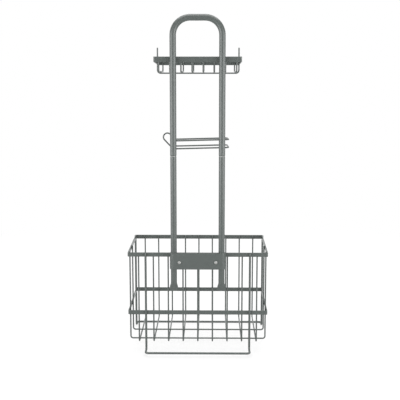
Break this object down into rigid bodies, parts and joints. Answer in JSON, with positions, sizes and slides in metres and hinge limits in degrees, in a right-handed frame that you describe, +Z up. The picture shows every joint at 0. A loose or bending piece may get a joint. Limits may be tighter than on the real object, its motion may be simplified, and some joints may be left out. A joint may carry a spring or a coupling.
{
  "type": "shower caddy",
  "caption": "Hanging shower caddy: wire basket on a screw clamp, soap tray and wire holder on a plug-together tube hoop, with stand bars below.",
  "frame": {"origin": "on the ground, half way between the two stand bars", "axes": "+Z up along the tubes, -Y towards the wall and the tubes, +X to the right seen from the wall side"},
  "size_m": [0.2346, 0.1926, 0.554],
  "materials": {
    "grey_coat": "satin powder coat",
    "screw_steel": "bright zinc plate"
  },
  "bodies": {
    "basket": {"clamp_plate": "grey_coat", "clamp_strip": "grey_coat", "clamp_screws": "screw_steel", "basket_rim": "grey_coat", "basket_middle_band": "grey_coat", "basket_cross_wire_rear": "grey_coat", "basket_cross_wire_middle": "grey_coat", "rear_stand_bar": "grey_coat", "front_stand_bar": "grey_coat", "basket_wire_1": "grey_coat", "basket_wire_2": "grey_coat", "basket_wire_3": "grey_coat", "basket_wire_4": "grey_coat", "basket_wire_5": "grey_coat", "basket_wire_6": "grey_coat", "basket_wire_7": "grey_coat", "basket_wire_8": "grey_coat", "basket_wire_9": "grey_coat"},
    "lower_tubes": {"lower_tube_left": "grey_coat", "lower_tube_right": "grey_coat"},
    "hanger": {"hanger_tube": "grey_coat", "tray_band": "grey_coat", "tray_cross_wire": "grey_coat", "wire_holder": "grey_coat", "tray_wire_1": "grey_coat", "tray_wire_2": "grey_coat", "tray_wire_3": "grey_coat", "tray_wire_4": "grey_coat", "tray_wire_5": "grey_coat", "tray_wire_6": "grey_coat", "tray_wire_7": "grey_coat", "tray_wire_8": "grey_coat"}
  },
  "joints": [
    {"name": "tube_height", "type": "slide", "parent": "basket", "child": "lower_tubes", "axis": [0, 0, 1], "range_m": [-0.09, 0.022]},
    {"name": "hoop_plug", "type": "slide", "parent": "lower_tubes", "child": "hanger", "axis": [0, 0, 1], "range_m": [0, 0.03]}
  ]
}
